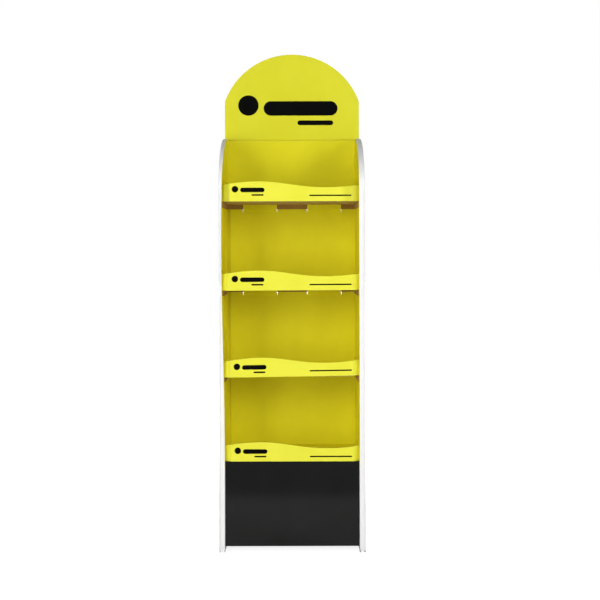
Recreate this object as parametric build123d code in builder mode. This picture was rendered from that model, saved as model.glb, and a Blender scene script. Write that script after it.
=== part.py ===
from build123d import *

import math
import os

# Four-shelf display stand folded from printed corrugated board, with an arched header card.
# Millimetres, Z up, the origin on the floor under the middle of the stand, the front at -Y.

# Whole stand
overall_width = 450.0
overall_depth = 350.0
body_height = 1295.0
foot_height = 18.0

# Board and folds
board = 4.0
fold_radius = 0.5
crease_radius = 2.5
fit_gap = 0.3
overrun = 20.0

# Hollow side walls
wall_width = 18.0
wall_curve_drop = 175.0
score_inset = 4.6
score_width = 1.0
score_depth = 0.7
foot_notch = 5.0

# The bow that the left wall's inner layer has taken, and where along its height
left_bow = 9.6
right_bow = 0.0
bow_start_height = 300.0
bow_crest_height = 950.0

# Arched header card and its tongue
header_inset = 2.0
header_side_height = 126.0
header_dome_rise = 157.0
header_corner_radius = 26.0
header_tongue_width = 333.0
header_tongue_depth = 105.0
header_tongue_corner = 12.0
header_board = 4.0
header_gap = 0.2
header_flap_depth = 120.0

# Shelves
bottom_level = 278.7
lower_pitch = 260.8
middle_pitch = 265.5
upper_pitch = 274.3
shelf_lip_height = 36.0
rear_flange_drop = 16.0
side_flange_drop = 18.0
side_flange_length = 225.0
side_tab_length = 70.0
side_tab_reach = 5.0
side_tab_set_in = 18.0
relief_width = 4.0

# Tongues of the back panel that clamp the shelves' rear flanges
tongue_width = 112.0
tongue_spacing = 212.8
tongue_kerf = 1.2
light_hole_diameter = 3.6
light_hole_drop = 17.6

# Wavy fascias. Two are glued on aslant, lower at the left end than at the right
fascia_board = 3.0
fascia_recess = 6.0
fascia_height = 51.5
lower_fascia_height = 50.0
bottom_fascia_height = 49.4
lower_fascia_slant = 6.0
upper_fascia_slant = 1.7
fascia_wave = 9.7
fascia_end_length = 19.0
fascia_end_set_back = 14.0
wave_shares = (
    (0.0, -0.08),
    (0.1, 0.56),
    (0.23, 1.0),
    (0.36, 0.84),
    (0.5, 0.06),
    (0.62, -0.62),
    (0.74, -0.9),
    (0.87, -0.74),
    (1.0, -0.12),
)

# Kick panel
kick_return_depth = 60.0
kick_top_flange = 50.0
kick_flange_inset = 8.0

# Places worked out from the sizes above
front_y = -overall_depth / 2
header_width = overall_width - 2 * header_inset
header_slot = header_board + 2 * header_gap
fold_over = 2 * board + header_slot
wall_rear_y = overall_depth / 2 - fold_over
wall_depth = wall_rear_y - front_y
wall_spring_height = body_height - wall_curve_drop
liner_half = overall_width / 2 - wall_width
fascia_y = front_y + fascia_recess
shelf_front_y = fascia_y + fascia_board
fold_outer = fold_radius + board
shelf_levels = {
    "bottom": bottom_level,
    "lower": bottom_level + lower_pitch,
    "upper": bottom_level + lower_pitch + middle_pitch,
    "top": bottom_level + lower_pitch + middle_pitch + upper_pitch,
}
fascia_heights = {
    "bottom": bottom_fascia_height,
    "lower": lower_fascia_height,
    "upper": fascia_height,
    "top": fascia_height,
}
fascia_slants = {"bottom": 0.0, "lower": lower_fascia_slant, "upper": upper_fascia_slant, "top": 0.0}
tab_rear_y = wall_rear_y - side_tab_set_in
tab_front_y = tab_rear_y - side_tab_length
bows = {"left": left_bow, "right": right_bow}
signs = {"left": -1, "right": 1}

os.makedirs("parts", exist_ok=True)


def bow_at(side, height):
    """How far the inner layer of a side wall has sunk into the wall at one height."""
    rise = height - bow_start_height
    reach = 2 * (bow_crest_height - bow_start_height)
    if rise <= 0 or rise >= reach:
        return 0.0
    return bows[side] * math.sin(math.pi * rise / reach) ** 2


def liner_x(side, low, high):
    """Where a piece between two heights meets the inner layer of a side wall."""
    bow = min(bow_at(side, low), bow_at(side, high))
    return signs[side] * (liner_half + bow - fit_gap)


def save(piece, name):
    """Label one finished piece and write it."""
    piece.part.label = name
    export_step(piece.part, f"parts/{name}.step")


# Side walls: each is one sheet folded into a flat tube, open at the floor


def wall_outline(inset):
    """Side view of a wall, set in by a board's thickness for the space inside it."""
    with BuildSketch(Plane.YZ) as outline:
        with BuildLine():
            Polyline(
                (wall_rear_y, body_height - inset),
                (wall_rear_y, 0),
                (front_y + inset, 0),
                (front_y + inset, wall_spring_height),
            )
            EllipticalCenterArc(
                (wall_rear_y, wall_spring_height),
                wall_depth - inset,
                wall_curve_drop - inset,
                start_angle=90,
                arc_size=90,
            )
        make_face()
    return outline.sketch_local


def bow_space(side, face_x):
    """Front view of what the bow takes away in front of one face of the inner layer."""
    steps = 8
    top = body_height + overrun
    heights = [bow_start_height + (top - bow_start_height) * i / steps for i in range(steps + 1)]
    curve = [(face_x + signs[side] * bow_at(side, z), z) for z in heights]
    with BuildSketch(Plane.XZ) as space:
        with BuildLine():
            Spline(curve)
            Polyline(
                curve[-1],
                (face_x - signs[side] * overrun, top),
                (face_x - signs[side] * overrun, bow_start_height),
                curve[0],
            )
        make_face()
    return space.sketch


def fold_edges(part, x, reach):
    """The folds round a wall's front, straight and curved, within reach of one place across."""
    edges = part.edges().filter_by(lambda e: abs(e.center().X - x) <= reach)
    edges = edges.filter_by(lambda e: e.center().Y < wall_rear_y - board)
    return edges.filter_by(lambda e: e.bounding_box().size.Z > board)


for side, sign in signs.items():
    outer_x = sign * overall_width / 2
    hollow_width = wall_width - 2 * board
    hollow_x = outer_x - sign * board
    liner_back_x = hollow_x - sign * hollow_width

    with BuildPart() as hollow:
        with BuildSketch(Plane.YZ.offset(min(hollow_x, liner_back_x))):
            add(wall_outline(board))
            with Locations((wall_rear_y, body_height / 2)):
                Rectangle(2 * board, body_height + overrun, mode=Mode.SUBTRACT)
        extrude(amount=hollow_width)
        if bows[side] > 0:
            extrude(bow_space(side, liner_back_x), amount=overall_depth, both=True, mode=Mode.SUBTRACT)

    with BuildPart() as side_panel:
        with BuildSketch(Plane.YZ.offset(min(outer_x, sign * liner_half))):
            add(wall_outline(0))
        extrude(amount=wall_width)
        if bows[side] > 0:
            extrude(
                bow_space(side, sign * liner_half), amount=overall_depth, both=True, mode=Mode.SUBTRACT
            )
        crease = min(crease_radius, board - fit_gap)
        fillet(fold_edges(side_panel, outer_x, fit_gap), crease)
        fillet(fold_edges(side_panel, sign * liner_half, bows[side] + fit_gap), crease)
        add(hollow.part, mode=Mode.SUBTRACT)
        with Locations((outer_x - sign * score_inset, front_y, wall_spring_height / 2)):
            Box(score_width, 2 * score_depth, wall_spring_height, mode=Mode.SUBTRACT)
        with Locations((outer_x - sign * wall_width / 2, front_y, 0)):
            Box(hollow_width, 4 * board, 2 * foot_notch, mode=Mode.SUBTRACT)
        slot_y = (tab_front_y + tab_rear_y) / 2
        for level in shelf_levels.values():
            with Locations((sign * liner_half, slot_y, level + board / 2)):
                Box(
                    2 * (wall_width - board),
                    side_tab_length + 4 * fit_gap,
                    board + 2 * fit_gap,
                    mode=Mode.SUBTRACT,
                )
    save(side_panel, f"{side}_side_panel")


# Back panel: one sheet folded back over its top, with clamping tongues cut in it

tongue_jog = 2 * board
tongue_bend_clearance = board * math.tan(math.pi / 8) + fit_gap
tongue_root_drop = rear_flange_drop + tongue_bend_clearance + tongue_jog
tongue_upright = rear_flange_drop + tongue_bend_clearance - fold_radius - fit_gap
window_height = tongue_jog * math.sqrt(2) + tongue_upright
tongue_edges = [
    side * (tongue_spacing / 2 + end * (tongue_width + tongue_kerf) / 2)
    for side in (-1, 1)
    for end in (-1, 1)
]

with BuildPart() as back_panel:
    fold_centre = body_height - fold_over / 2
    with BuildSketch(Plane.YZ):
        with BuildLine():
            front = Line((wall_rear_y, foot_height), (wall_rear_y, fold_centre))
            crest = JernArc(front @ 1, front % 1, fold_over / 2, -180)
            Line(crest @ 1, (overall_depth / 2, body_height - header_flap_depth))
            offset(amount=board, side=Side.RIGHT)
        make_face()
    extrude(amount=header_width / 2, both=True)
    with Locations((0, wall_rear_y + fold_over / 2, body_height)):
        Box(header_tongue_width + 2 * fit_gap, header_slot, fold_over, mode=Mode.SUBTRACT)
    for level in shelf_levels.values():
        root = level - tongue_root_drop
        with BuildSketch(Plane.XZ.offset(-wall_rear_y - board)):
            with Locations((0, root + window_height / 2)):
                with GridLocations(tongue_spacing, 0, 2, 1):
                    Rectangle(tongue_width + 2 * tongue_kerf, window_height)
        extrude(amount=board, mode=Mode.SUBTRACT)
        for side in signs.values():
            with BuildSketch(Plane.YZ.offset(side * tongue_spacing / 2)):
                with BuildLine():
                    Polyline(
                        (wall_rear_y, root - board),
                        (wall_rear_y, root),
                        (wall_rear_y - tongue_jog, root + tongue_jog),
                        (wall_rear_y - tongue_jog, root + tongue_jog + tongue_upright),
                    )
                    offset(amount=board, side=Side.RIGHT)
                make_face()
            extrude(amount=tongue_width / 2, both=True)
        with BuildSketch(Plane.XZ.offset(-wall_rear_y - board)):
            with Locations([(x, level - light_hole_drop) for x in tongue_edges]):
                Circle(light_hole_diameter / 2)
        extrude(amount=2 * fold_over, mode=Mode.SUBTRACT)
save(back_panel, "back_panel")


# Header card: its tongue slides into the slot along the back panel's top fold

with BuildPart() as header_card:
    header_face_y = wall_rear_y + board + header_gap
    dome_foot = body_height + header_side_height
    with BuildSketch(Plane.XZ.offset(-header_face_y)) as header_outline:
        with BuildLine():
            Polyline(
                (-header_width / 2, dome_foot),
                (-header_width / 2, body_height),
                (header_width / 2, body_height),
                (header_width / 2, dome_foot),
            )
            ThreePointArc(
                (header_width / 2, dome_foot),
                (0, dome_foot + header_dome_rise),
                (-header_width / 2, dome_foot),
            )
        make_face()
        fillet(header_outline.vertices().group_by(Axis.Y)[-1], header_corner_radius)
        with Locations((0, body_height - header_tongue_depth / 2)):
            Rectangle(header_tongue_width, header_tongue_depth)
        chamfer(header_outline.vertices().group_by(Axis.Y)[0], header_tongue_corner)
    extrude(amount=-header_board)
save(header_card, "header_card")


# Shelves: each sheet has a raised front flange, flanges folded down at the sides and rear,
# and straight tabs that enter slots in the side walls

for name, level in shelf_levels.items():
    left_x = liner_x("left", level - side_flange_drop, level + board)
    right_x = liner_x("right", level - side_flange_drop, level + board)
    width = right_x - left_x
    middle_x = (left_x + right_x) / 2
    corner_length = fascia_end_length + relief_width
    corner_depth = fascia_end_set_back + board
    flange_rear_y = shelf_front_y + corner_depth + side_flange_length

    with BuildPart() as shelf:
        with BuildSketch(Plane.YZ.offset(middle_x)):
            with BuildLine():
                FilletPolyline(
                    (shelf_front_y + board, level + shelf_lip_height),
                    (shelf_front_y + board, level + board),
                    (wall_rear_y, level + board),
                    (wall_rear_y, level - rear_flange_drop),
                    radius=[fold_radius, fold_outer],
                )
                offset(amount=board, side=Side.RIGHT)
            make_face()
        extrude(amount=width / 2, both=True)
        with Locations((middle_x, shelf_front_y, level)):
            with GridLocations(width, 0, 2, 1):
                Box(2 * corner_length, 2 * corner_depth, 3 * shelf_lip_height, mode=Mode.SUBTRACT)
        for x, sign in ((left_x, -1), (right_x, 1)):
            flange_middle_y = shelf_front_y + corner_depth + side_flange_length / 2
            with Locations((x - sign * board / 2, flange_middle_y, level + board / 2)):
                Box(board, side_flange_length, board, mode=Mode.SUBTRACT)
            with BuildSketch(Plane.XZ.offset(-flange_middle_y)):
                with BuildLine():
                    FilletPolyline(
                        (x - sign * 2 * fold_outer, level + board),
                        (x, level + board),
                        (x, level - side_flange_drop),
                        radius=fold_outer,
                    )
                    offset(amount=board, side=Side.RIGHT if sign > 0 else Side.LEFT)
                make_face()
            extrude(amount=side_flange_length / 2, both=True)
            with Locations((x, flange_rear_y + relief_width / 2, level)):
                Box(2 * fold_outer, relief_width, 4 * board, mode=Mode.SUBTRACT)
            with Locations((x, (tab_front_y + tab_rear_y) / 2, level + board / 2)):
                Box(2 * side_tab_reach, side_tab_length, board)
    save(shelf, f"{name}_shelf")


# Fascias: a printed strip in front of each shelf, wave-cut along its top, its ends bent back

for name, level in shelf_levels.items():
    height = fascia_heights[name]
    slant = fascia_slants[name]
    left_x = liner_x("left", level - slant, level + height + fascia_wave)
    right_x = liner_x("right", level - slant, level + height + fascia_wave)
    width = right_x - left_x
    foot_points = [(left_x, level - slant / 2), (right_x, level + slant / 2)]
    wave_points = [
        (left_x + width * along, level + height + slant * (along - 0.5) + fascia_wave * lift)
        for along, lift in wave_shares
    ]

    with BuildPart() as fascia:
        with BuildSketch(Plane.XY.offset(level - slant)):
            with BuildLine():
                FilletPolyline(
                    (left_x, fascia_y + fascia_end_set_back),
                    (left_x + fascia_end_length, fascia_y),
                    (right_x - fascia_end_length, fascia_y),
                    (right_x, fascia_y + fascia_end_set_back),
                    radius=fold_radius + fascia_board,
                )
                offset(amount=fascia_board, side=Side.LEFT)
            make_face()
        extrude(amount=height + 2 * fascia_wave + 2 * slant)
        with BuildSketch(Plane.XZ):
            with BuildLine():
                Spline(wave_points)
                Polyline(wave_points[-1], foot_points[1], foot_points[0], wave_points[0])
            make_face()
        extrude(amount=overall_depth, both=True, mode=Mode.INTERSECT)
    save(fascia, f"{name}_fascia")


# Kick panel: a folded sheet under the bottom shelf, clear of the floor

kick_left_x = liner_x("left", foot_height, bottom_level)
kick_right_x = liner_x("right", foot_height, bottom_level)
kick_return_top = bottom_level - side_flange_drop - fit_gap
kick_flange_width = kick_right_x - kick_left_x - 2 * kick_flange_inset

with BuildPart() as kick_panel:
    with BuildSketch(Plane.XY.offset(foot_height)):
        with BuildLine():
            FilletPolyline(
                (kick_left_x, fascia_y + kick_return_depth),
                (kick_left_x, fascia_y),
                (kick_right_x, fascia_y),
                (kick_right_x, fascia_y + kick_return_depth),
                radius=fold_outer,
            )
            offset(amount=board, side=Side.LEFT)
        make_face()
    extrude(amount=bottom_level - foot_height)
    with Locations(((kick_left_x + kick_right_x) / 2, fascia_y + board, bottom_level)):
        Box(
            kick_right_x - kick_left_x,
            2 * kick_return_depth,
            2 * (bottom_level - kick_return_top),
            align=(Align.CENTER, Align.MIN, Align.CENTER),
            mode=Mode.SUBTRACT,
        )
    with BuildSketch(Plane.YZ.offset((kick_left_x + kick_right_x) / 2)):
        with BuildLine():
            FilletPolyline(
                (fascia_y, kick_return_top - fold_outer),
                (fascia_y, bottom_level),
                (fascia_y + kick_top_flange, bottom_level),
                radius=fold_outer,
            )
            offset(amount=board, side=Side.RIGHT)
        make_face()
    extrude(amount=kick_flange_width / 2, both=True)
save(kick_panel, "kick_panel")
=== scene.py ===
"""Looks for the four-shelf display stand: printed board, a pale floor and soft studio light."""

import logging
import math
from dataclasses import dataclass
from enum import Enum
from typing import Any, NamedTuple, Union

import bmesh
import bpy
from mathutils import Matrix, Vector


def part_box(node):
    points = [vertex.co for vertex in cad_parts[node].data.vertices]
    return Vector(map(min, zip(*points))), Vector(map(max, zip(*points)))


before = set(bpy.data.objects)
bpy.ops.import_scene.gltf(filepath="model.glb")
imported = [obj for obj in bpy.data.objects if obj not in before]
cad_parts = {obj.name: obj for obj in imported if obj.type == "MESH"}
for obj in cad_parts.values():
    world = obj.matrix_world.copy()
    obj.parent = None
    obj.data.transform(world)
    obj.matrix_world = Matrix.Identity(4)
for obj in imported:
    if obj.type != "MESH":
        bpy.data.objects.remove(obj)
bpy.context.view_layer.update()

MM = 1000.0
TURN = 2.0 * math.pi

# How far a face's normal leans one way before the face counts as looking that way.
FACING = 0.5
LEANING = 0.3

log = logging.getLogger("display_stand")

Triple = tuple[float, float, float]
Colour = Triple
Amount = Union["Wire", float]

WHITE: Colour = (1.0, 1.0, 1.0)


class Wire:
    """One output socket of a shader node, with the sums a maker writes on paper."""

    def __init__(self, bench: "Bench", socket: bpy.types.NodeSocket) -> None:
        """Keep the socket and the bench that it lies on."""
        self.bench = bench
        self.socket = socket

    def sum_with(self, operation: str, *values: Amount) -> "Wire":
        """The output of one Math node, whose inputs are the values in order."""
        node = self.bench.add("ShaderNodeMath", {"operation": operation}, dict(enumerate(values)))
        return Wire(self.bench, node.outputs[0])

    def __add__(self, other: Amount) -> "Wire":
        """self + other"""
        return self.sum_with("ADD", self, other)

    def __radd__(self, other: Amount) -> "Wire":
        """other + self"""
        return self.sum_with("ADD", other, self)

    def __sub__(self, other: Amount) -> "Wire":
        """self - other"""
        return self.sum_with("SUBTRACT", self, other)

    def __rsub__(self, other: Amount) -> "Wire":
        """other - self"""
        return self.sum_with("SUBTRACT", other, self)

    def __mul__(self, other: Amount) -> "Wire":
        """self * other"""
        return self.sum_with("MULTIPLY", self, other)

    def __rmul__(self, other: Amount) -> "Wire":
        """other * self"""
        return self.sum_with("MULTIPLY", other, self)

    def __gt__(self, other: Amount) -> "Wire":
        """1 where self is above other."""
        return self.sum_with("GREATER_THAN", self, other)

    def __lt__(self, other: Amount) -> "Wire":
        """1 where self is below other."""
        return self.sum_with("LESS_THAN", self, other)

    def __and__(self, other: Amount) -> "Wire":
        """Where both masks hold."""
        return self.sum_with("MULTIPLY", self, other)

    def __or__(self, other: Amount) -> "Wire":
        """Where either mask holds."""
        return self.sum_with("MAXIMUM", self, other)

    def __invert__(self) -> "Wire":
        """Where the mask doesn't hold."""
        return 1.0 - self

    def __abs__(self) -> "Wire":
        """The distance from zero."""
        return self.sum_with("ABSOLUTE", self)

    def sine(self) -> "Wire":
        """The sine of an angle in radians."""
        return self.sum_with("SINE", self)

    def root(self) -> "Wire":
        """The square root."""
        return self.sum_with("SQRT", self)

    def least(self, floor: float) -> "Wire":
        """The value, but no lower than floor."""
        return self.sum_with("MAXIMUM", self, floor)

    def fade(self, low: float, high: float, start: float = 0.0, end: float = 1.0) -> "Wire":
        """Move softly from start to end as the value goes from low to high.

        Args:
            low: the value at which the result leaves start.
            high: the value at which it reaches end.
            start: the result below low.
            end: the result above high.

        Returns:
            The faded value.
        """
        node = self.bench.add(
            "ShaderNodeMapRange",
            {"interpolation_type": "SMOOTHSTEP"},
            {"Value": self, "From Min": low, "From Max": high, "To Min": start, "To Max": end},
        )
        return Wire(self.bench, node.outputs["Result"])

    def fall(self, low: float, high: float, start: float = 1.0) -> "Wire":
        """Move softly from start down to zero as the value goes from low to high."""
        return self.fade(low, high, start, 0.0)


@dataclass(frozen=True)
class Grain:
    """Soft noise on the board.

    Attributes:
        size: the size of its blobs along x, y and z, in millimetres.
        detail: how many finer layers it has.
    """

    size: Triple
    detail: float


class Bench:
    """The node tree of a material or the world while it is being wired."""

    def __init__(self, tree: bpy.types.NodeTree) -> None:
        """Clear the tree to start from nothing."""
        self.tree = tree
        tree.nodes.clear()

    def add(
        self,
        kind: str,
        settings: dict[str, Any] | None = None,
        sockets: dict[Any, Any] | None = None,
    ) -> bpy.types.Node:
        """Add one node.

        Args:
            kind: the node's type.
            settings: its own settings, set first.
            sockets: its inputs by name or number, links or plain values.

        Returns:
            The node.
        """
        node = self.tree.nodes.new(kind)
        for name, value in (settings or {}).items():
            setattr(node, name, value)
        for name, value in (sockets or {}).items():
            if isinstance(value, Wire):
                self.tree.links.new(value.socket, node.inputs[name])
            else:
                node.inputs[name].default_value = value
        return node

    def out(self, node: bpy.types.Node, name: str | int = 0) -> Wire:
        """One output of a node, ready for sums."""
        return Wire(self, node.outputs[name])

    def vector(self, operation: str, *values: Any) -> bpy.types.Node:
        """One Vector Math node, whose inputs are the values in order."""
        sockets = dict(enumerate(values))
        return self.add("ShaderNodeVectorMath", {"operation": operation}, sockets)

    def split(self, wire: Wire) -> tuple[Wire, Wire, Wire]:
        """The three parts of a vector."""
        node = self.add("ShaderNodeSeparateXYZ", None, {0: wire})
        return self.out(node, 0), self.out(node, 1), self.out(node, 2)

    def blend(self, under: Any, over: Any, share: Amount) -> Wire:
        """Lay one colour over another.

        Args:
            under: the colour below, a link or red, green and blue.
            over: the colour on top.
            share: how much of the top colour shows.

        Returns:
            The mixed colour.
        """
        under, over = (c if isinstance(c, Wire) else (*c, 1.0) for c in (under, over))
        node = self.add("ShaderNodeMix", {"data_type": "RGBA"}, {0: share, 6: under, 7: over})
        return self.out(node, 2)

    def noise(self, place: Wire, grain: Grain) -> Wire:
        """Soft noise.

        Args:
            place: the coordinates that it is laid on, in metres.
            grain: its size and detail.

        Returns:
            The noise, from 0 to 1.
        """
        scale = tuple(MM / size for size in grain.size)
        stretched = self.out(self.vector("MULTIPLY", place, scale))
        sockets = {"Vector": stretched, "Scale": 1.0, "Detail": grain.detail}
        return self.out(self.add("ShaderNodeTexNoise", None, sockets), 0)


@dataclass(frozen=True)
class Finish:
    """How one surface of the sheet takes light.

    Attributes:
        colour: the main colour.
        shade: the tint that the mottling moves towards.
        roughness: how matt it is.
        varnish: how much clear varnish lies on it.
    """

    colour: Colour
    shade: Colour
    roughness: float
    varnish: float = 0.0


class Board(Enum):
    """The finishes that the stand's board has."""

    SUN_INK = Finish((0.75, 0.73, 0.038), (0.725, 0.70, 0.032), 0.55)
    # The fascias' yellow is the header's yellow made lighter: painted light.
    STRIP_INK_LIT_COPY = Finish((0.82, 0.80, 0.064), (0.795, 0.775, 0.054), 0.55)
    # The inside's yellow is the header's yellow made more orange: painted bounce light in the
    # shade.
    SHELF_INK_BOUNCE_COPY = Finish((0.82, 0.76, 0.018), (0.785, 0.725, 0.016), 0.60)
    # The inner walls' yellow is the header's yellow made lighter and redder: painted light.
    WALL_INK_LIT_COPY = Finish((0.95, 0.86, 0.018), (0.92, 0.83, 0.015), 0.60)
    BLACK_INK = Finish((0.0015, 0.0014, 0.0014), (0.0022, 0.0020, 0.0020), 0.70)
    KICK_INK = Finish((0.0060, 0.0063, 0.0060), (0.0071, 0.0075, 0.0075), 0.60, 0.55)
    WHITE_LINER = Finish((0.88, 0.885, 0.88), (0.86, 0.865, 0.86), 0.60)
    KRAFT = Finish((0.434, 0.267, 0.119), (0.395, 0.240, 0.104), 0.86)
    BROWN_LINER = Finish((0.36, 0.206, 0.056), (0.31, 0.175, 0.046), 0.86)
    # A copy of the kraft made lighter: painted light from below, for the shelves' undersides.
    KRAFT_LIT_COPY = Finish((0.60, 0.43, 0.235), (0.53, 0.37, 0.19), 0.86)
    BARE_FIBRE = Finish((0.72, 0.66, 0.50), (0.62, 0.55, 0.38), 0.9)


@dataclass(frozen=True)
class Mark:
    """A printed bar with round ends, or a dot where length and height are one.

    Attributes:
        across: its middle along x, in millimetres.
        up: its middle above the height that it is measured from.
        length: from end to end.
        height: from its foot to its top.
    """

    across: float
    up: float
    length: float
    height: float


@dataclass(frozen=True)
class Flute:
    """The wavy paper inside the board.

    Attributes:
        thickness: of the whole board, in millimetres.
        pitch: from one wave to the next.
        paper: thickness of each paper as it shows at a cut.
    """

    thickness: float = 4.0
    pitch: float = 7.9
    paper: float = 0.45


@dataclass(frozen=True)
class Swell:
    """The slow unevenness of a folded sheet.

    Attributes:
        depth: how far it strays, in millimetres.
        size: the size of its swells along x, y and z.
    """

    depth: float
    size: Triple


class BoardSkin(Bench):
    """The material of one sheet, laid up from bare kraft outwards. Places are in millimetres.

    Its varnish stays a plain number until a finish that has some is laid.
    """

    CLOUDS = Grain((70.0, 70.0, 110.0), 3.0)
    FIBRES = Grain((0.5, 0.5, 1.6), 3.0)
    SPECKS = Grain((3.0, 3.0, 3.0), 4.0)
    SMUDGES = Grain((120.0, 120.0, 150.0), 2.0)
    SWELL_DETAIL = 1.0

    FLECK_COLOUR: Colour = (0.22, 0.125, 0.05)
    # The flutes' stripe colour: partly the flutes showing through the paper, partly painted shade
    # of the ribs.
    FLUTE_STRIPE_AND_SHADE: Colour = (0.10, 0.08, 0.06)
    # The dark of the open channels at a cut edge is painted shade.
    HOLLOW_PAINTED_SHADE: Colour = (0.10, 0.058, 0.024)
    SMUDGE_COLOUR: Colour = (0.36, 0.34, 0.30)

    # Between which levels of its noise each of them goes from nothing to full.
    CLOUD_LEVELS = (0.30, 0.70)
    FLECK_LEVELS = (0.55, 0.75)
    SMUDGE_LEVELS = (0.40, 0.80)
    WEAR_LEVELS = (0.40, 0.62)

    # Above this level of the specks a cut edge shows bare fibre.
    BARE_LEVEL = 0.62

    FLECK_SHARE = 0.40
    HOLLOW_SHARE = 0.85
    WEAR_SPECKS = 0.6
    WEAR_FIBRES = 0.4

    FIBRE_HEIGHT = 0.006
    HOLLOW_DEPTH = 0.25
    FOLD_DEPTH = 0.05
    CLOUD_ROUGHNESS = 0.04
    SMUDGE_ROUGHNESS = 0.08
    TORN_ROUGHNESS = 0.85
    INK_EDGE = 0.15

    # Half the width of the wave's line in a cut edge, in thicknesses of its paper.
    MEDIUM_HALF = 0.75

    def __init__(self, name: str, flute: Flute = Flute()) -> None:
        """Start a bare kraft sheet.

        Args:
            name: the material's name.
            flute: the board's inner wave.
        """
        self.material = bpy.data.materials.new(name)
        self.material.use_nodes = True
        super().__init__(self.material.node_tree)
        self.flute = flute
        kraft = Board.KRAFT.value
        place = self.add("ShaderNodeTexCoord")
        self.place = self.out(place, "Object")
        self.x, self.y, self.z = (part * MM for part in self.split(self.place))
        self.nx, self.ny, self.nz = self.split(self.out(place, "Normal"))
        self.clouds = self.noise(self.place, self.CLOUDS).fade(*self.CLOUD_LEVELS)
        self.fibre = self.noise(self.place, self.FIBRES)
        self.speck = self.noise(self.place, self.SPECKS)
        flecks = self.fibre.fade(*self.FLECK_LEVELS) * self.FLECK_SHARE
        self.colour: Any = self.blend(self.tone(kraft), self.FLECK_COLOUR, flecks)
        self.roughness: Amount = self.clouds * self.CLOUD_ROUGHNESS + kraft.roughness
        self.varnish: Amount = kraft.varnish
        self.height: Amount = (self.fibre - 0.5) * self.FIBRE_HEIGHT

    def tone(self, finish: Finish) -> Wire:
        """A finish's colour with its slow mottling."""
        return self.blend(finish.colour, finish.shade, self.clouds)

    def tint(self, colour: Colour, share: Wire) -> None:
        """Lay a plain colour over the sheet, where and as much as share says."""
        self.colour = self.blend(self.colour, colour, share)

    def lay(self, mask: Wire, choice: Board) -> None:
        """Lay one finish over the sheet.

        Args:
            mask: where it lies.
            choice: which finish.
        """
        finish = choice.value
        self.colour = self.blend(self.colour, self.tone(finish), mask)
        self.roughness = self.roughness + (finish.roughness - self.roughness) * mask
        if finish.varnish != self.varnish:
            self.varnish = self.varnish + (finish.varnish - self.varnish) * mask

    def wave(self, along: Wire) -> Wire:
        """The flutes' wave, from -1 to 1, at a place across them."""
        return (along * (TURN / self.flute.pitch)).sine()

    def rib(self, mask: Wire, along: Wire, depth: float) -> None:
        """Let the flutes stand out under the paper; along is the place across them."""
        self.height = self.height + self.wave(along) * mask * depth

    def show_flutes(self, mask: Wire, along: Wire, strength: float) -> None:
        """Darken the paper a little over the wave's hollows, partly the flutes showing through
        and partly painted shade of the ribs; along is the place across them.
        """
        hollow = self.wave(along).fade(-1.0, 1.0)
        self.tint(self.FLUTE_STRIPE_AND_SHADE, hollow * mask * strength)

    def handle(self, mask: Wire, strength: float) -> None:
        """Leave the faint grey smudges of hands and transport.

        Args:
            mask: where they are.
            strength: how dark they get.
        """
        smudge = self.noise(self.place, self.SMUDGES).fade(*self.SMUDGE_LEVELS)
        self.tint(self.SMUDGE_COLOUR, smudge * mask * strength)
        self.roughness = self.roughness + smudge * mask * self.SMUDGE_ROUGHNESS

    def cut(self, mask: Wire, along: Wire, across: Wire) -> None:
        """Show the two liners and the wave between them on a cut edge, with painted shade in its
        open channels.

        Args:
            mask: where the sheet is cut.
            along: the place along the edge.
            across: the place through the board, from its middle.
        """
        half = self.flute.thickness / 2.0
        medium_line = self.wave(along) * (half - self.flute.paper)
        medium = abs(across - medium_line) < self.flute.paper * self.MEDIUM_HALF
        liner = abs(across) > half - self.flute.paper
        hollow = ~(medium | liner) & mask
        self.lay(mask & (self.speck > self.BARE_LEVEL), Board.BARE_FIBRE)
        # Painted shade: the open channels between the papers are darkened as if in their own
        # shadow.
        self.tint(self.HOLLOW_PAINTED_SHADE, hollow * self.HOLLOW_SHARE)
        self.height = self.height - hollow * self.HOLLOW_DEPTH

    def wear(self, line: Wire, amount: float) -> None:
        """Crack the ink and lift fibres along a fold or an edge.

        Args:
            line: how near the fold is, from 0 to 1.
            amount: how much of the ink has gone.
        """
        patchy = self.speck * self.WEAR_SPECKS + self.fibre * self.WEAR_FIBRES
        gone = line * patchy.fade(*self.WEAR_LEVELS) * amount
        self.tint(Board.BARE_FIBRE.value.colour, gone)
        self.roughness = self.roughness + (self.TORN_ROUGHNESS - self.roughness) * gone
        if self.varnish:
            self.varnish = self.varnish * (1.0 - gone)
        self.height = self.height - line * self.FOLD_DEPTH

    def dish(self, mask: Wire, swell: Swell) -> None:
        """Give the masked faces the slow unevenness of folded board."""
        noise = self.noise(self.place, Grain(swell.size, self.SWELL_DETAIL))
        self.height = self.height + (noise - 0.5) * mask * swell.depth

    def print_mark(self, mark: Mark, base: Amount = 0.0, shift: float = 0.0) -> Wire:
        """One printed mark, seen from the front.

        Args:
            mark: its place and size.
            base: the height that it is measured from.
            shift: how far the press put it to the right.

        Returns:
            The mask of its ink.
        """
        radius = mark.height / 2.0
        reach = (abs(self.x - mark.across - shift) - (mark.length / 2.0 - radius)).least(0.0)
        lift = self.z - mark.up - base
        away = (reach * reach + lift * lift).root()
        return away.fall(radius - self.INK_EDGE, radius + self.INK_EDGE)

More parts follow.
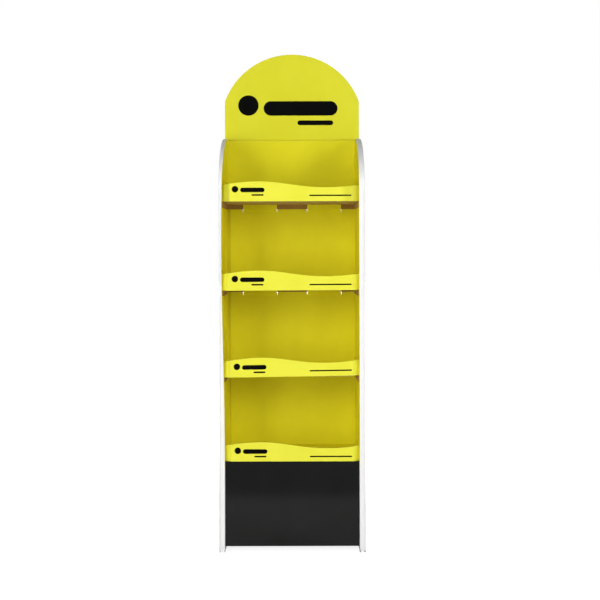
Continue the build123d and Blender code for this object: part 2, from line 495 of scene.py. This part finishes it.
    def finish(self, shine: float = 0.10, haze: float = 0.30) -> bpy.types.Material:
        """Wire everything to the surface.

        Args:
            shine: the strength of the sheet's own reflection.
            haze: how blurred the varnish's reflection is.

        Returns:
            The material.
        """
        bump = self.add(
            "ShaderNodeBump", None, {"Strength": 1.0, "Distance": 1.0 / MM, "Height": self.height}
        )
        surface = self.add(
            "ShaderNodeBsdfPrincipled",
            None,
            {
                "Base Color": self.colour,
                "Roughness": self.roughness,
                "Coat Weight": self.varnish,
                "Coat Roughness": haze,
                "Specular IOR Level": shine,
                "Normal": self.out(bump),
            },
        )
        self.add("ShaderNodeOutputMaterial", None, {"Surface": self.out(surface)})
        return self.material


class Edges(NamedTuple):
    """A sheet's box in millimetres."""

    left: float
    right: float
    front: float
    rear: float
    bottom: float
    top: float

    @property
    def width(self) -> float:
        """From left to right."""
        return self.right - self.left

    @property
    def middle(self) -> float:
        """Half way between left and right."""
        return (self.left + self.right) / 2.0


@dataclass
class SubAssembly:
    """A group of sheets that are dressed in one way.

    Attributes:
        skin_depth: how far under the box's faces a surface still counts as lying on them.
    """

    skin_depth: float = 1.0

    def put_on(self, node: str, material: bpy.types.Material) -> None:
        """Give a CAD node its material and report it.

        Args:
            node: the node's name.
            material: what it is dressed in.
        """
        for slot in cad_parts[node].material_slots:
            slot.material = material
        log.info("%s wears %s", node, material.name)

    def edges(self, node: str) -> Edges:
        """The box of one node."""
        low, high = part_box(node)
        return Edges(*(value * MM for pair in zip(low, high) for value in pair))


@dataclass(frozen=True)
class Wall:
    """What sets one side wall apart.

    Attributes:
        node: its name.
        sign: minus one on the left, one on the right.
        bow: how far its inner layer leans outwards at the crest.
        foot_shade: how dark the painted shade at its foot is.
    """

    node: str
    sign: float
    bow: float
    foot_shade: float


@dataclass
class SideWalls(SubAssembly):
    """The two hollow walls, white outside and printed yellow towards the shelves.

    Attributes:
        half_width: from the stand's middle to a wall's outer face, in millimetres.
        thickness: of a wall, with its hollow.
        spring: the height at which the curved top starts.
        curve_lead: how far below that its finish starts.
        bow_start: the height from which a bowed inner layer leans.
        bow_crest: where it leans most.
        inner_lean: how far inwards a face looks before it counts as the inner side.
        print_gap: how far past the inner layer the yellow print reaches.
        print_foot: the height at which the yellow print starts.
        outer_depth: how far under the outer face a surface still counts as lying on it.
        fold_reach: how wide the worn line along a fold is.
        corner_band: where the wear of the outer corner starts and is full, from the face.
        dirt_reach: up to which heights the foot is dirtiest and a little dirty.
        foot_shade_reach: the same for the painted shade at the foot.
    """

    half_width: float = 225.0
    thickness: float = 18.0
    board: float = 4.0
    spring: float = 1120.0
    curve_lead: float = 5.0
    bow_start: float = 300.0
    bow_crest: float = 950.0
    inner_lean: float = 0.25
    print_gap: float = 0.7
    print_foot: float = 256.0
    outer_depth: float = 1.5
    outer_swell: Swell = Swell(0.9, (160.0, 160.0, 320.0))
    inner_swell: Swell = Swell(0.8, (150.0, 150.0, 240.0))
    outer_rib: float = 0.05
    inner_rib: float = 0.015
    fold_reach: float = 1.2
    fold_wear: float = 0.35
    corner_band: tuple[float, float] = (1.6, 0.3)
    flute_stripe_and_shade: float = 0.06
    smudging: float = 0.07
    dirt: Colour = (0.30, 0.28, 0.25)
    dirt_share: float = 0.22
    dirt_reach: tuple[float, float] = (2.0, 34.0)
    dirt_levels: tuple[float, float] = (0.35, 0.7)
    painted_foot_shade: Colour = (0.10, 0.098, 0.095)
    foot_shade_reach: tuple[float, float] = (3.0, 6.5)
    walls: tuple[Wall, ...] = (
        Wall("left_side_panel", -1.0, 9.6, 0.25),
        Wall("right_side_panel", 1.0, 0.0, 0.75),
    )

    def liner_place(self, skin: BoardSkin, wall: Wall) -> Amount:
        """How far from the middle the inner layer stands at each height.

        Args:
            skin: the wall's material.
            wall: which wall.

        Returns:
            The distance, one number where the wall doesn't bow.
        """
        flat = self.half_width - self.thickness
        if not wall.bow:
            return flat
        share = (skin.z - self.bow_start) * (1.0 / (2.0 * (self.bow_crest - self.bow_start)))
        inside = (share > 0.0) & (share < 1.0)
        lean = (share * math.pi).sine()
        return lean * lean * inside * wall.bow + flat

    def dress_wall(self, wall: Wall) -> None:
        """Dress one wall.

        Args:
            wall: which wall.
        """
        skin = BoardSkin(f"{wall.node}_print")
        out = skin.x * wall.sign
        outward = skin.nx * wall.sign
        liner = self.liner_place(skin, wall)
        rear = self.edges(wall.node).rear
        curved = (skin.z > self.spring - self.curve_lead) & (skin.nz > LEANING)
        facing = (skin.ny < -LEANING) | curved
        back = (skin.ny > FACING) & (skin.y > rear - self.skin_depth)
        outer = (outward > FACING) & (out > self.half_width - self.outer_depth)
        white = outer | ((facing | back) & (out > liner - self.skin_depth))
        within = out < liner + self.print_gap
        inside = (outward < -self.inner_lean) & within
        inner = (inside | (facing & within)) & (skin.z > self.print_foot)
        skin.rib(outer, skin.y, self.outer_rib)
        skin.dish(outer, self.outer_swell)
        skin.dish(inner, self.inner_swell)
        skin.lay(white | inside, Board.WHITE_LINER)
        # Painted light: the inner walls take a lighter copy of the yellow.
        skin.lay(inner, Board.WALL_INK_LIT_COPY)
        skin.rib(inner, skin.y, self.inner_rib)
        foot = (skin.nz < -FACING) & (skin.z < self.skin_depth)
        skin.cut(foot, skin.y, out - (self.half_width - self.board / 2.0))
        skin.wear(abs(out - liner).fall(0.0, self.fold_reach) & facing, self.fold_wear)
        corner = out.fade(*(self.half_width - depth for depth in self.corner_band))
        skin.wear(corner & facing, self.fold_wear)
        skin.show_flutes(outer, skin.y, self.flute_stripe_and_shade)
        skin.handle(outer, self.smudging)
        grubby = skin.z.fall(*self.dirt_reach) * skin.speck.fade(*self.dirt_levels)
        skin.tint(self.dirt, grubby * self.dirt_share * white)
        # Painted shade: the front of each foot darkens towards the floor, more on the right wall.
        skin.tint(self.painted_foot_shade, skin.z.fall(*self.foot_shade_reach, wall.foot_shade) * facing)
        self.put_on(wall.node, skin.finish())

    def dress(self) -> None:
        """Dress both walls."""
        for wall in self.walls:
            self.dress_wall(wall)


@dataclass
class BackSheet(SubAssembly):
    """The sheet behind the shelves, folded back over its top.

    Attributes:
        fold_over: how thick the folded top is, with its slot.
        front_lean: how far forwards a face looks before it counts as the front.
        bleed: how far the front's print reaches down the flap.
        corner: how far left of the middle the painted shade line beside the left wall runs.
        corner_reach: how far from there it is darkest, and where it ends.
        corner_top: how high that painted shade line shows.
        brow: how far under the top the painted shade along the fold under the header begins.
        brow_soft: over how much height it comes up.
    """

    board: float = 4.0
    fold_over: float = 12.4
    front_lean: float = 0.4
    bleed: float = 22.0
    swell: Swell = Swell(1.2, (190.0, 190.0, 230.0))
    front_rib: float = 0.014
    rear_rib: float = 0.05
    fold_reach: float = 1.5
    fold_wear: float = 0.25
    flute_stripe_and_shade: float = 0.10
    corner: float = 207.0
    corner_reach: tuple[float, float] = (1.0, 4.5)
    corner_top: float = 1100.0
    corner_share: float = 0.22
    brow: float = 7.0
    brow_soft: float = 3.0
    brow_share: float = 0.10
    # The colour of the painted shade in the corner and along the top fold.
    painted_shade: Colour = (0.16, 0.10, 0.0)

    def dress(self) -> None:
        """Dress the back panel."""
        skin = BoardSkin("back_panel_print")
        box = self.edges("back_panel")
        face = box.rear - self.fold_over
        radius = self.fold_over / 2.0
        centre_y, centre_z = face + radius, box.top - radius
        over_y, over_z = skin.y - centre_y, skin.z - centre_z
        away = over_y * over_y + over_z * over_z
        crest = (skin.z > centre_z) & (away > (radius - self.skin_depth) ** 2)
        front_face = (skin.ny < -self.front_lean) & (skin.y < face + self.skin_depth)
        rearward = skin.ny > FACING
        flap = rearward & (skin.y > box.rear - self.skin_depth)
        skin.rib(skin.ny < -FACING, skin.x, self.front_rib)
        skin.rib(rearward, skin.x, self.rear_rib)
        skin.dish(abs(skin.ny) > FACING, self.swell)
        skin.lay(flap, Board.WHITE_LINER)
        # Painted bounce light: the front and the flap's bleed take a more orange copy of the
        # yellow.
        skin.lay(front_face | crest, Board.SHELF_INK_BOUNCE_COPY)
        skin.lay(flap & (skin.z > box.top - self.bleed), Board.SHELF_INK_BOUNCE_COPY)
        cut = (abs(skin.ny) < FACING) & ~crest
        folded = skin.y > centre_y
        board_middle = folded * (self.fold_over - self.board) + (face + self.board / 2.0)
        skin.cut(cut, skin.x, skin.y - board_middle)
        skin.wear(abs(skin.z - centre_z).fall(0.0, self.fold_reach) & front_face, self.fold_wear)
        skin.show_flutes(rearward, skin.x, self.flute_stripe_and_shade)
        # Painted shade: a dark line on the back in the corner beside the left wall, below the top
        # shelf.
        low = skin.z < self.corner_top
        corner = (skin.x + self.corner).fall(*self.corner_reach) & low & front_face
        # Painted shade: a dark band along the top fold, under the header.
        brow = (skin.z - box.top + self.brow).fade(0.0, self.brow_soft) & (front_face | crest)
        skin.tint(self.painted_shade, (corner * self.corner_share) | (brow * self.brow_share))
        self.put_on("back_panel", skin.finish())


@dataclass
class HeaderCard(SubAssembly):
    """The arched card on top, printed with a plain dot and two plain bars.

    Attributes:
        marks: the dot, the large bar and the small bar.
    """

    swell: Swell = Swell(1.0, (200.0, 200.0, 200.0))
    front_rib: float = 0.014
    rear_rib: float = 0.05
    flute_stripe_and_shade: float = 0.10
    shine: float = 0.03
    marks: tuple[Mark, ...] = (
        Mark(-144.5, 1409.0, 68.0, 68.0),
        Mark(29.0, 1399.0, 246.0, 48.0),
        Mark(78.0, 1351.0, 119.0, 16.0),
    )

    def dress(self) -> None:
        """Dress the header card."""
        skin = BoardSkin("header_card_print")
        box = self.edges("header_card")
        face = skin.ny < -FACING
        rearward = skin.ny > FACING
        skin.rib(face, skin.x, self.front_rib)
        skin.rib(rearward, skin.x, self.rear_rib)
        skin.dish(abs(skin.ny) > FACING, self.swell)
        skin.lay(face, Board.SUN_INK)
        for mark in self.marks:
            skin.lay(face & skin.print_mark(mark), Board.BLACK_INK)
        skin.cut(abs(skin.ny) < FACING, skin.x, skin.y - (box.front + box.rear) / 2.0)
        skin.show_flutes(rearward, skin.x, self.flute_stripe_and_shade)
        self.put_on("header_card", skin.finish(self.shine))


@dataclass
class Shelves(SubAssembly):
    """The four shelves, printed on top and bare below.

    Attributes:
        side_drop: how far the side flanges hang under the deck.
        tab_reach: how far in from its ends a shelf shows its side tabs.
        tab_drop: how far under the deck's face those tabs' brown ends start.
        near: how far off its place a printed face may lie.
    """

    board: float = 4.0
    side_drop: float = 18.0
    tab_reach: float = 6.5
    tab_drop: float = 0.2
    near: float = 1.5
    rib: float = 0.02
    swell: Swell = Swell(0.8, (150.0, 150.0, 150.0))
    names: tuple[str, ...] = ("bottom", "lower", "upper", "top")

    def dress_shelf(self, name: str) -> None:
        """Dress one shelf.

        Args:
            name: its level, as in the node's name.
        """
        node = f"{name}_shelf"
        skin = BoardSkin(f"{node}_print")
        box = self.edges(node)
        level = box.bottom + self.side_drop
        upright = abs(skin.nz) > FACING
        deck = (skin.nz > LEANING) & (abs(skin.z - level - self.board) < self.near)
        lip = (skin.ny > LEANING) & (skin.y < box.front + self.board + self.near)
        tail = (skin.ny > LEANING) & (skin.y > box.rear - self.near)
        beside = abs(skin.x - box.middle) > box.width / 2.0 - self.tab_reach
        ends = (abs(skin.nx) > FACING) & (skin.z < level + self.board - self.tab_drop) & beside
        skin.rib(upright | (abs(skin.ny) > FACING), skin.y + skin.z, self.rib)
        skin.dish(upright, self.swell)
        under = (skin.nz < -FACING) & (skin.z < level + self.skin_depth)
        behind_lip = (skin.ny < -FACING) & (skin.y > box.front + 2.0 * self.board)
        skin.lay(behind_lip, Board.BROWN_LINER)
        # Painted light: the undersides take the lighter copy of the kraft.
        skin.lay(under & (skin.z > level - self.skin_depth), Board.KRAFT_LIT_COPY)
        # Painted bounce light: the deck, lip and tail take a more orange copy of the yellow.
        skin.lay(deck | lip | tail, Board.SHELF_INK_BOUNCE_COPY)
        rim = (skin.nz > FACING) & (skin.z > box.top - self.skin_depth)
        skin.cut(rim, skin.x, skin.y - (box.front + self.board / 2.0))
        skin.lay(ends, Board.BROWN_LINER)
        self.put_on(node, skin.finish())

    def dress(self) -> None:
        """Dress each shelf."""
        for name in self.names:
            self.dress_shelf(name)


@dataclass(frozen=True)
class Press:
    """How one fascia went through the press.

    Attributes:
        name: the fascia's name.
        slant: how much higher its right end hangs than its left.
        shift: how far to the right its title was put.
        title_lift: how far up its title was put.
        strap_lift: how far up its long thin bar was put.
        end_shade: how much painted shade darkens its left and right end.
    """

    name: str
    slant: float
    shift: float
    title_lift: float
    strap_lift: float
    end_shade: tuple[float, float] = (0.0, 0.0)


@dataclass
class Fascias(SubAssembly):
    """The wavy printed strips in front of the shelves, each with a plain dot and bars.

    Attributes:
        end: how long each bent end is across the front.
        set_back: how far back each end is bent.
        cut_lean: how far up or down a face looks before it counts as cut.
        bend_reach: where the worn ink at a bend is worst and where it ends.
        tip_band: where the wear of an end starts and is full, from its tip.
        title: the dot, the bar and the small bar at the left.
        strap: the long thin bar at the right.
        end_shade_left: where the painted shade on the left end starts and is full, from the bend.
        end_shade_right: the same at the right.
    """

    end: float = 19.0
    set_back: float = 14.0
    cut_lean: float = 0.4
    flute: Flute = Flute(3.0, 6.4, 0.4)
    swell: Swell = Swell(0.7, (120.0, 120.0, 120.0))
    rib: float = 0.012
    bend_reach: tuple[float, float] = (0.2, 1.1)
    bend_wear: float = 0.35
    tip_band: tuple[float, float] = (1.2, 0.2)
    tip_wear: float = 0.5
    shine: float = 0.03
    title: tuple[Mark, ...] = (
        Mark(-174.5, 37.5, 20.0, 20.0),
        Mark(-121.0, 35.0, 75.0, 14.0),
        Mark(-105.0, 19.5, 37.0, 5.0),
    )
    strap: Mark = Mark(119.0, 18.0, 130.0, 4.4)
    painted_end_shade: Colour = (0.36, 0.34, 0.01)
    end_shade_left: tuple[float, float] = (-7.0, 0.0)
    end_shade_right: tuple[float, float] = (-42.0, -14.0)
    presses: tuple[Press, ...] = (
        Press("bottom", 0.0, 6.8, -4.5, -3.0),
        Press("lower", 6.0, 4.6, -4.5, -1.0),
        Press("upper", 1.7, -1.0, -1.5, -0.5),
        Press("top", 0.0, 0.0, 0.0, 0.0, (0.52, 0.28)),
    )

    def dress_strip(self, press: Press) -> None:
        """Dress one fascia.

        Args:
            press: its name, and how it was printed.
        """
        node = f"{press.name}_fascia"
        skin = BoardSkin(f"{node}_print", self.flute)
        box = self.edges(node)
        aside = skin.x - box.middle
        level = aside * (press.slant / box.width) + (box.bottom + press.slant / 2.0)
        reach = abs(aside) - (box.width / 2.0 - self.end)
        face = skin.ny < -FACING
        skin.rib(face, skin.x, self.rib)
        skin.dish(face, self.swell)
        # Painted light: the fascias take a lighter copy of the yellow.
        skin.lay(face, Board.STRIP_INK_LIT_COPY)
        # Painted shade: the fascia's ends darken, on the top fascia only.
        left = reach.fade(*self.end_shade_left) & (skin.x < box.middle)
        right = reach.fade(*self.end_shade_right) & (skin.x > box.middle)
        end_shade_mask = (left * press.end_shade[0]) | (right * press.end_shade[1])
        skin.tint(self.painted_end_shade, end_shade_mask & face)
        for mark in self.title:
            ink = skin.print_mark(mark, level + press.title_lift, press.shift)
            skin.lay(face & ink, Board.BLACK_INK)
        strap = skin.print_mark(self.strap, level + press.strap_lift)
        skin.lay(face & strap, Board.BLACK_INK)
        bent_back = reach.least(0.0) * (self.set_back / self.end)
        board_middle = box.front + self.flute.thickness / 2.0
        skin.cut(abs(skin.nz) > self.cut_lean, skin.x, skin.y - bent_back - board_middle)
        skin.wear(abs(reach).fall(*self.bend_reach) & face, self.bend_wear)
        tip = reach.fade(*(self.end - depth for depth in self.tip_band))
        skin.wear(tip & face, self.tip_wear)
        self.put_on(node, skin.finish(self.shine))

    def dress(self) -> None:
        """Dress each fascia."""
        for press in self.presses:
            self.dress_strip(press)


@dataclass
class KickPanel(SubAssembly):
    """The black panel that closes the base.

    Attributes:
        corner_reach: how wide the worn line along its corners is.
        corner_wear: how much of the ink has gone there.
        shine: the strength of the sheet's own reflection.
        haze: how blurred the varnish's reflection is.
    """

    board: float = 4.0
    swell: Swell = Swell(0.8, (180.0, 180.0, 160.0))
    rib: float = 0.012
    corner_reach: float = 1.0
    corner_wear: float = 0.12
    shine: float = 0.06
    haze: float = 0.08

    def dress(self) -> None:
        """Dress the kick panel."""
        skin = BoardSkin("kick_panel_print")
        box = self.edges("kick_panel")
        aside = abs(skin.x - box.middle)
        edge = box.width / 2.0 - self.skin_depth
        face = (skin.ny < -LEANING) & (skin.y < box.front + self.board + self.skin_depth)
        flank = (abs(skin.nx) > FACING) & (aside > edge)
        lid = (skin.nz > FACING) & (skin.z > box.top - self.skin_depth)
        printed = face | flank | lid
        skin.rib(face, skin.x, self.rib)
        skin.dish(face, self.swell)
        skin.lay(printed, Board.KICK_INK)
        skin.cut(abs(skin.nz) > FACING, skin.x, skin.y - (box.front + self.board / 2.0))
        skin.lay(lid, Board.KICK_INK)
        corner = abs(aside - edge).fall(0.0, self.corner_reach)
        skin.wear(corner & printed, self.corner_wear)
        self.put_on("kick_panel", skin.finish(self.shine, self.haze))


@dataclass(frozen=True)
class Lamp:
    """One soft box.

    Attributes:
        name: what it is called.
        place: where it hangs, in metres.
        aim: the point that it faces.
        size: its width and height.
        power: in watts.
    """

    name: str
    place: Triple
    aim: Triple
    size: tuple[float, float]
    power: float


@dataclass
class Studio:
    """The floor, the light and the camera. Places are in metres.

    Attributes:
        floor_reach: how far the floor runs each way.
        front: where the stand's front is.
        mirror_reach: how far before the front the floor still shines in varnish.
        mirror_soft: how softly that ends, each way.
        ambient: the light that comes from all round.
        glow: how white the floor looks by itself.
        glow_share: how much of that shows under the stand, where its shadow stays.
        glow_near: within this distance the floor shows that share only.
        glow_far: from here on it looks white.
        paper: the floor's colour.
        far_paper: what varnish mirrors of the floor beyond its shine.
        eye: where the camera stands.
        lens: its focal length in millimetres.
        sensor: the width of its picture in the camera, in millimetres.
        sight: how far it sees.
        roll: how far it was turned about the line of sight, in radians.
        shift: how far the picture is moved, in widths.
    """

    floor_reach: float = 30.0
    front: float = -0.175
    mirror_reach: float = 0.91
    mirror_soft: float = 0.12
    ambient: float = 0.01
    glow: float = 1.9
    glow_share: float = 0.45
    glow_near: float = 0.5
    glow_far: float = 2.2
    paper: Colour = (0.82, 0.82, 0.81)
    far_paper: Colour = (0.10, 0.10, 0.11)
    eye: Triple = (0.0164, -4.305, 0.9446)
    lens: float = 80.64
    sensor: float = 36.0
    sight: float = 100.0
    roll: float = 0.0024
    shift: tuple[float, float] = (0.0048, -0.0917)
    lamps: tuple[Lamp, ...] = (
        Lamp("left_box", (-1.9, -3.3, 1.6), (0.0, 0.0, 0.85), (1.3, 1.6), 42.3),
        Lamp("left_foot_box", (-1.9, -3.3, 0.5), (0.0, 0.0, 0.85), (1.3, 0.8), 26.8),
        Lamp("right_box", (2.4, -2.9, 1.6), (0.0, 0.0, 0.85), (1.3, 1.6), 41.3),
        Lamp("right_foot_box", (1.9, -3.3, 0.5), (0.0, 0.0, 0.85), (1.3, 0.8), 17.2),
        Lamp("front_box", (0.0, -4.4, 1.9), (0.0, 0.0, 0.85), (1.3, 1.2), 30.0),
        Lamp("top_box", (0.0, 0.06, 3.0), (0.0, 0.06, 0.8), (1.4, 0.4), 3.2),
        Lamp("rear_left_box", (-2.6, 2.8, 1.6), (0.0, 0.0, 0.8), (1.2, 1.2), 62.0),
        Lamp("rear_right_box", (2.6, 2.8, 1.6), (0.0, 0.0, 0.8), (1.2, 1.2), 62.0),
    )

    def floor_paper(self) -> bpy.types.Material:
        """Make the floor's paper, white far off and matt under the stand.

        Returns:
            The material.
        """
        material = bpy.data.materials.new("floor_paper")
        material.use_nodes = True
        bench = Bench(material.node_tree)
        rays = bench.add("ShaderNodeLightPath")
        camera, glossy = bench.out(rays, "Is Camera Ray"), bench.out(rays, "Is Glossy Ray")
        place = bench.out(bench.add("ShaderNodeTexCoord"), "Object")
        line = self.front - self.mirror_reach
        beyond = bench.split(place)[1].fall(line - self.mirror_soft, line + self.mirror_soft)
        paper = bench.blend(self.paper, self.far_paper, beyond * glossy)
        matt = bench.add("ShaderNodeBsdfDiffuse", None, {"Color": paper})
        light = {"Color": (*WHITE, 1.0), "Strength": self.glow}
        glow = bench.add("ShaderNodeEmission", None, light)
        length = bench.out(bench.vector("LENGTH", place), "Value")
        share = length.fade(self.glow_near, self.glow_far, self.glow_share, 1.0) * camera
        sockets = {0: share, 1: bench.out(matt), 2: bench.out(glow)}
        mixed = bench.add("ShaderNodeMixShader", None, sockets)
        bench.add("ShaderNodeOutputMaterial", None, {"Surface": bench.out(mixed)})
        return material

    def lay_floor(self) -> None:
        """A pale floor that keeps the stand's shadow."""
        shape = bmesh.new()
        bmesh.ops.create_grid(shape, x_segments=1, y_segments=1, size=self.floor_reach)
        mesh = bpy.data.meshes.new("floor")
        shape.to_mesh(mesh)
        shape.free()
        floor = bpy.data.objects.new("floor", mesh)
        bpy.context.scene.collection.objects.link(floor)
        mesh.materials.append(self.floor_paper())
        log.info("floor laid")

    def fill_sky(self) -> None:
        """An even glow all round, white where it is seen or mirrored."""
        world = bpy.data.worlds.new("studio")
        world.use_nodes = True
        bpy.context.scene.world = world
        bench = Bench(world.node_tree)
        rays = bench.add("ShaderNodeLightPath")
        seen = bench.out(rays, "Is Camera Ray") | bench.out(rays, "Is Glossy Ray")
        seen = seen | bench.out(rays, "Is Transmission Ray")
        strength = seen * (1.0 - self.ambient) + self.ambient
        light = {"Color": (*WHITE, 1.0), "Strength": strength}
        glow = bench.add("ShaderNodeBackground", None, light)
        bench.add("ShaderNodeOutputWorld", None, {"Surface": bench.out(glow)})
        log.info("sky filled")

    def hang(self, lamp: Lamp) -> None:
        """Hang one soft box.

        Args:
            lamp: which one.
        """
        data = bpy.data.lights.new(lamp.name, "AREA")
        data.shape = "RECTANGLE"
        data.size, data.size_y = lamp.size
        data.energy = lamp.power
        box = bpy.data.objects.new(lamp.name, data)
        bpy.context.scene.collection.objects.link(box)
        box.location = lamp.place
        way = box.location.copy()
        for axis in range(3):
            way[axis] = lamp.aim[axis] - lamp.place[axis]
        box.rotation_euler = way.to_track_quat("-Z", "Y").to_euler()
        log.info("lamp %s hung", lamp.name)

    def set_camera(self) -> None:
        """Stand the camera where the photograph was taken from, rolled as it was held."""
        data = bpy.data.cameras.new("photo_camera")
        data.lens = self.lens
        data.sensor_width = self.sensor
        data.shift_x, data.shift_y = self.shift
        data.clip_end = self.sight
        camera = bpy.data.objects.new("photo_camera", data)
        bpy.context.scene.collection.objects.link(camera)
        camera.location = self.eye
        camera.rotation_euler = (math.pi / 2.0, self.roll, 0.0)
        bpy.context.scene.camera = camera
        bpy.context.scene.view_settings.view_transform = "Standard"
        log.info("camera set")

    def build(self) -> None:
        """Build the whole studio."""
        self.lay_floor()
        self.fill_sky()
        for lamp in self.lamps:
            self.hang(lamp)
        self.set_camera()


def main() -> None:
    """Build the studio and dress each sheet of the stand."""
    logging.basicConfig(level=logging.INFO, format="%(message)s")
    Studio().build()
    for part in (SideWalls(), BackSheet(), HeaderCard(), Shelves(), Fascias(), KickPanel()):
        part.dress()


if __name__ == "__main__":
    main()
